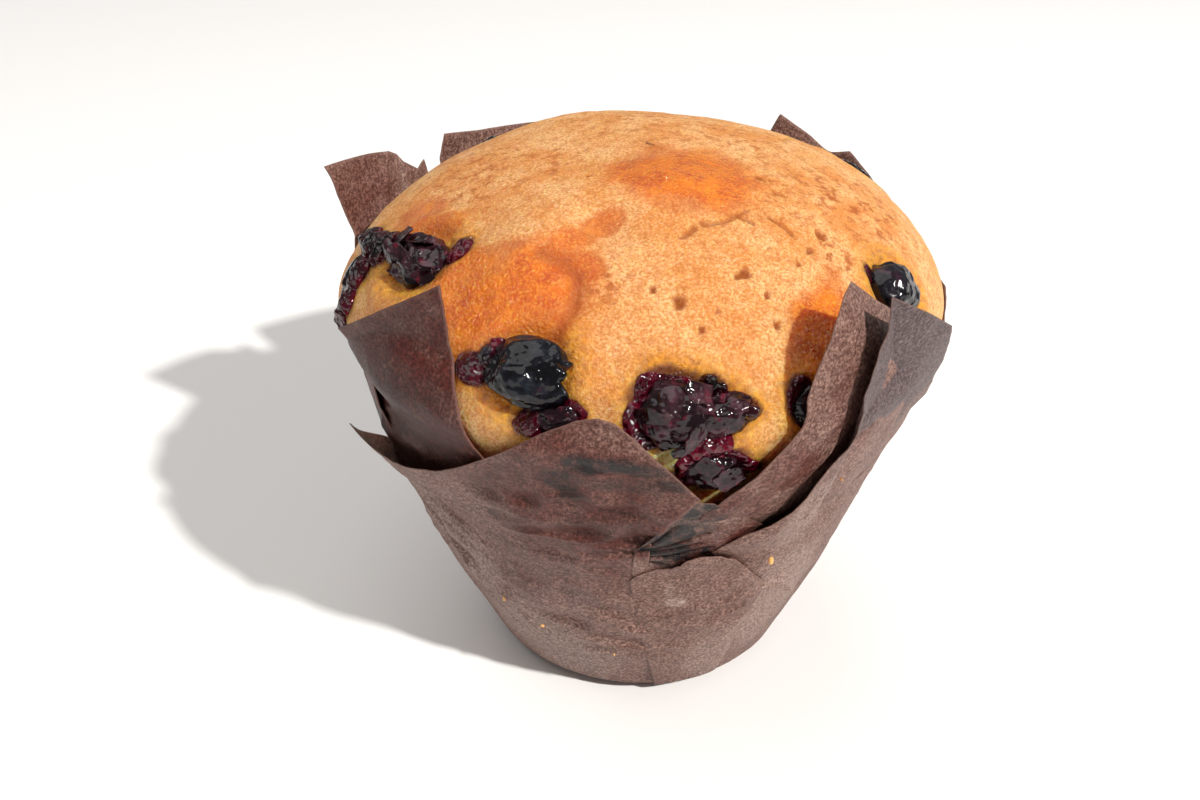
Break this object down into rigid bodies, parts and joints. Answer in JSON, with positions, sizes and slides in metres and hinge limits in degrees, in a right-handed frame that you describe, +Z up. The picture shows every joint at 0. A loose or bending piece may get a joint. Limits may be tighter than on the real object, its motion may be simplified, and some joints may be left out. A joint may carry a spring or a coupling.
{
  "type": "blueberry muffin in a paper case",
  "caption": "Domed blueberry muffin that fills a brown greaseproof tulip case, its folded paper petals standing up round the crust.",
  "frame": {"origin": "middle of the case's flat bottom, on the table", "axes": "+Z up through the top of the dome, -Y towards the front petal, +X to the right as seen from the front"},
  "size_m": [0.0939, 0.0959, 0.0826],
  "materials": {
    "brown_greaseproof": "brown greaseproof baking paper, matt, with darker grease stains",
    "baked_crust": "golden baked crust, moist and glossy in patches",
    "baked_blueberry": "burst and shrivelled blueberry skin, wet with juice"
  },
  "bodies": {
    "root": {"paper_case": "brown_greaseproof", "cake": "baked_crust", "blueberry_front_left": "baked_blueberry", "blueberry_front_small": "baked_blueberry", "blueberry_centre": "baked_blueberry", "blueberry_centre_side": "baked_blueberry", "blueberry_front_low": "baked_blueberry", "blueberry_left": "baked_blueberry", "blueberry_left_edge": "baked_blueberry", "blueberry_right": "baked_blueberry", "blueberry_right_front": "baked_blueberry", "blueberry_back_left": "baked_blueberry", "blueberry_back": "baked_blueberry", "blueberry_back_right": "baked_blueberry"}
  },
  "joints": []
}
